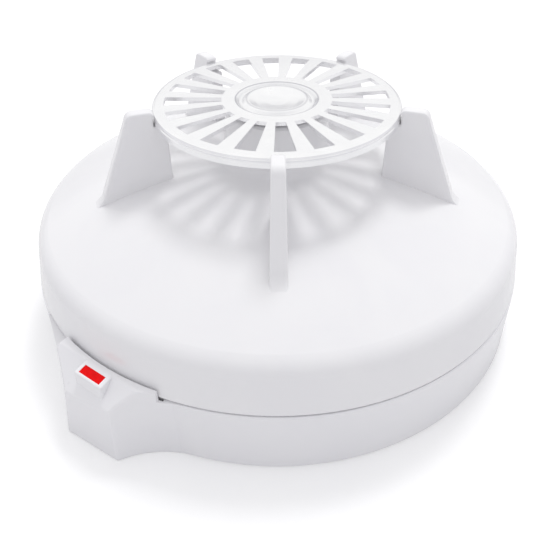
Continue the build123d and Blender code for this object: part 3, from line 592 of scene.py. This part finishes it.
# --- Sensing thermistor -----------------------------------------------------------------
# A glass-hard epoxy bead bonded under the plate's dish. Black, dipped, so its gloss is a
# little uneven.
dip = moulded_plastic(
    "black_dip", (0.016, 0.016, 0.018), (0.034, 0.033, 0.034), (0.16, 0.36), 0.4, 500.0, 0.5
)
dress("thermistor_bead", dip)

# --- Thermistor leads -------------------------------------------------------------------
# Two tinned copper wires from the bead down to the circuit board, drawn and straight.
tinned_copper = sheet_metal(
    "tinned_copper", (0.82, 0.80, 0.77), (0.76, 0.68, 0.58), (0.20, 0.36), 600.0, (900.0, 900.0, 60.0)
)
dress("thermistor_leads", tinned_copper)

# --- Head chassis -----------------------------------------------------------------------
# The inner tray that closes the head from below and turns in the base on its lugs.
# Natural nylon, moulded with a satin skin.
chassis_nylon = moulded_plastic(
    "chassis_nylon", (0.74, 0.73, 0.69), (0.70, 0.69, 0.65), (0.38, 0.52), 0.35, 70.0, 0.4
)
dress("head_chassis", chassis_nylon)

# --- Chassis screws ---------------------------------------------------------------------
# Thread-forming steel screws, bright zinc plated, that pull the chassis up to the cover's
# bosses.
bright_zinc = sheet_metal("bright_zinc", (0.78, 0.79, 0.81), (0.66, 0.67, 0.66), (0.20, 0.38), 650.0)
dress("chassis_screws", bright_zinc)

# --- Contact blades ---------------------------------------------------------------------
# Four brass blades under the chassis wipe along the base's spring leaves as the head is
# twisted home. Stamped, and lightly tarnished.
brass = sheet_metal("stamped_brass", (0.80, 0.62, 0.30), (0.62, 0.44, 0.20), (0.20, 0.40), 350.0)
dress("contact_blades", brass)

# --- Circuit board ----------------------------------------------------------------------
# The round glass-epoxy board on the chassis: green solder mask, copper tracks under it and
# tinned pads.
dress("circuit_board", solder_masked("main_board", (0.008, 0.12, 0.05), (0.03, 0.24, 0.09), 150.0, 210.0))

# --- Board screws -----------------------------------------------------------------------
# Small pan heads of the same bright zinc plate, which hold the board to its stand-offs.
dress("board_screws", bright_zinc)

# --- Electrolytic capacitor -------------------------------------------------------------
# An aluminium can in a shrunk dark blue sleeve; the bare can shows at the top, and the
# sleeve has a pale stripe down its negative side.
sleeve = bpy.data.materials.new("capacitor_sleeve")
sleeve.use_nodes = True
tree = sleeve.node_tree
shader = tree.nodes["Principled BSDF"]
place = tree.nodes.new("ShaderNodeTexCoord")
split = tree.nodes.new("ShaderNodeSeparateXYZ")
tree.links.new(place.outputs["Normal"], split.inputs["Vector"])
bare = spread(tree, split.outputs["Z"], 0.85, 0.9)
stripe = spread(tree, split.outputs["X"], 0.86, 0.88)
shrink = noise(tree, place.outputs["Object"], 700.0, 3.0)
film = blend_colours(tree, spread(tree, shrink, 0.3, 0.7), (0.014, 0.02, 0.06), (0.025, 0.035, 0.09))
film = blend_colours(tree, stripe, film, (0.62, 0.64, 0.68))
tree.links.new(blend_colours(tree, bare, film, (0.80, 0.80, 0.82)), shader.inputs["Base Color"])
tree.links.new(bare, shader.inputs["Metallic"])
tree.links.new(spread(tree, shrink, 0.2, 0.8, 0.22, 0.38), shader.inputs["Roughness"])
dress("electrolytic_capacitor", sleeve)

# --- Ceramic capacitors -----------------------------------------------------------------
# Flat discs dipped in an orange-brown resin. Their legs are one piece with them here and
# take the same colour.
ochre = moulded_plastic("ceramic_dip", (0.55, 0.23, 0.05), (0.46, 0.17, 0.035), (0.22, 0.42), 0.5, 420.0, 0.5)
dress("ceramic_capacitors", ochre)

# --- Resistors --------------------------------------------------------------------------
# Carbon film resistors in a tan lacquer with dark bands. Their bent leads are one piece
# with them here and take the same lacquer.
lacquer = bpy.data.materials.new("resistor_coat")
lacquer.use_nodes = True
tree = lacquer.node_tree
shader = tree.nodes["Principled BSDF"]
place = tree.nodes.new("ShaderNodeTexCoord")
wave = tree.nodes.new("ShaderNodeTexWave")
wave.inputs["Scale"].default_value = 95.0
wave.inputs["Distortion"].default_value = 0.0
tree.links.new(place.outputs["Object"], wave.inputs["Vector"])
tint = tree.nodes.new("ShaderNodeTexNoise")
tint.inputs["Scale"].default_value = 130.0
tree.links.new(place.outputs["Object"], tint.inputs["Vector"])
which_band = spread(tree, tint.outputs["Fac"], 0.48, 0.52)
ring = blend_colours(tree, which_band, (0.35, 0.09, 0.02), (0.02, 0.02, 0.02))
tan = spread(tree, tint.outputs["Fac"], 0.3, 0.7)
body = blend_colours(tree, tan, (0.62, 0.47, 0.28), (0.55, 0.40, 0.23))
painted = blend_colours(tree, spread(tree, wave.outputs["Fac"], 0.78, 0.84), body, ring)
tree.links.new(painted, shader.inputs["Base Color"])
tree.links.new(spread(tree, tint.outputs["Fac"], 0.2, 0.8, 0.25, 0.4), shader.inputs["Roughness"])
dress("resistors", lacquer)

# --- Control circuit --------------------------------------------------------------------
# The control chip's package: black epoxy pressed in a mould, with a fine matt grain.
chip_epoxy = moulded_plastic(
    "chip_epoxy", (0.016, 0.016, 0.017), (0.026, 0.026, 0.028), (0.40, 0.56), 0.6, 300.0, 0.4
)
dress("control_ic", chip_epoxy)

# --- Bridge rectifier -------------------------------------------------------------------
# A moulded block that lets the loop's two wires be fitted either way round. The same kind
# of black epoxy, with more gloss.
block_epoxy = moulded_plastic(
    "rectifier_epoxy", (0.014, 0.014, 0.015), (0.024, 0.024, 0.026), (0.26, 0.40), 0.5, 260.0, 0.45
)
dress("bridge_rectifier", block_epoxy)

# --- Transistors ------------------------------------------------------------------------
# Half-round packages that stand on the board. Black epoxy again, from another mould, and
# greyer.
dress("transistors", moulded_plastic(
    "transistor_epoxy", (0.022, 0.022, 0.024), (0.036, 0.036, 0.038), (0.36, 0.52), 0.6, 380.0, 0.4
))

# --- Reference thermistor ---------------------------------------------------------------
# A second bead down on the board, away from the plate, tells the chip how fast the air
# warms. Dipped black like the sensing bead.
reference_dip = moulded_plastic(
    "reference_dip", (0.018, 0.018, 0.02), (0.038, 0.036, 0.036), (0.18, 0.38), 0.4, 520.0, 0.5
)
dress("reference_thermistor", reference_dip)
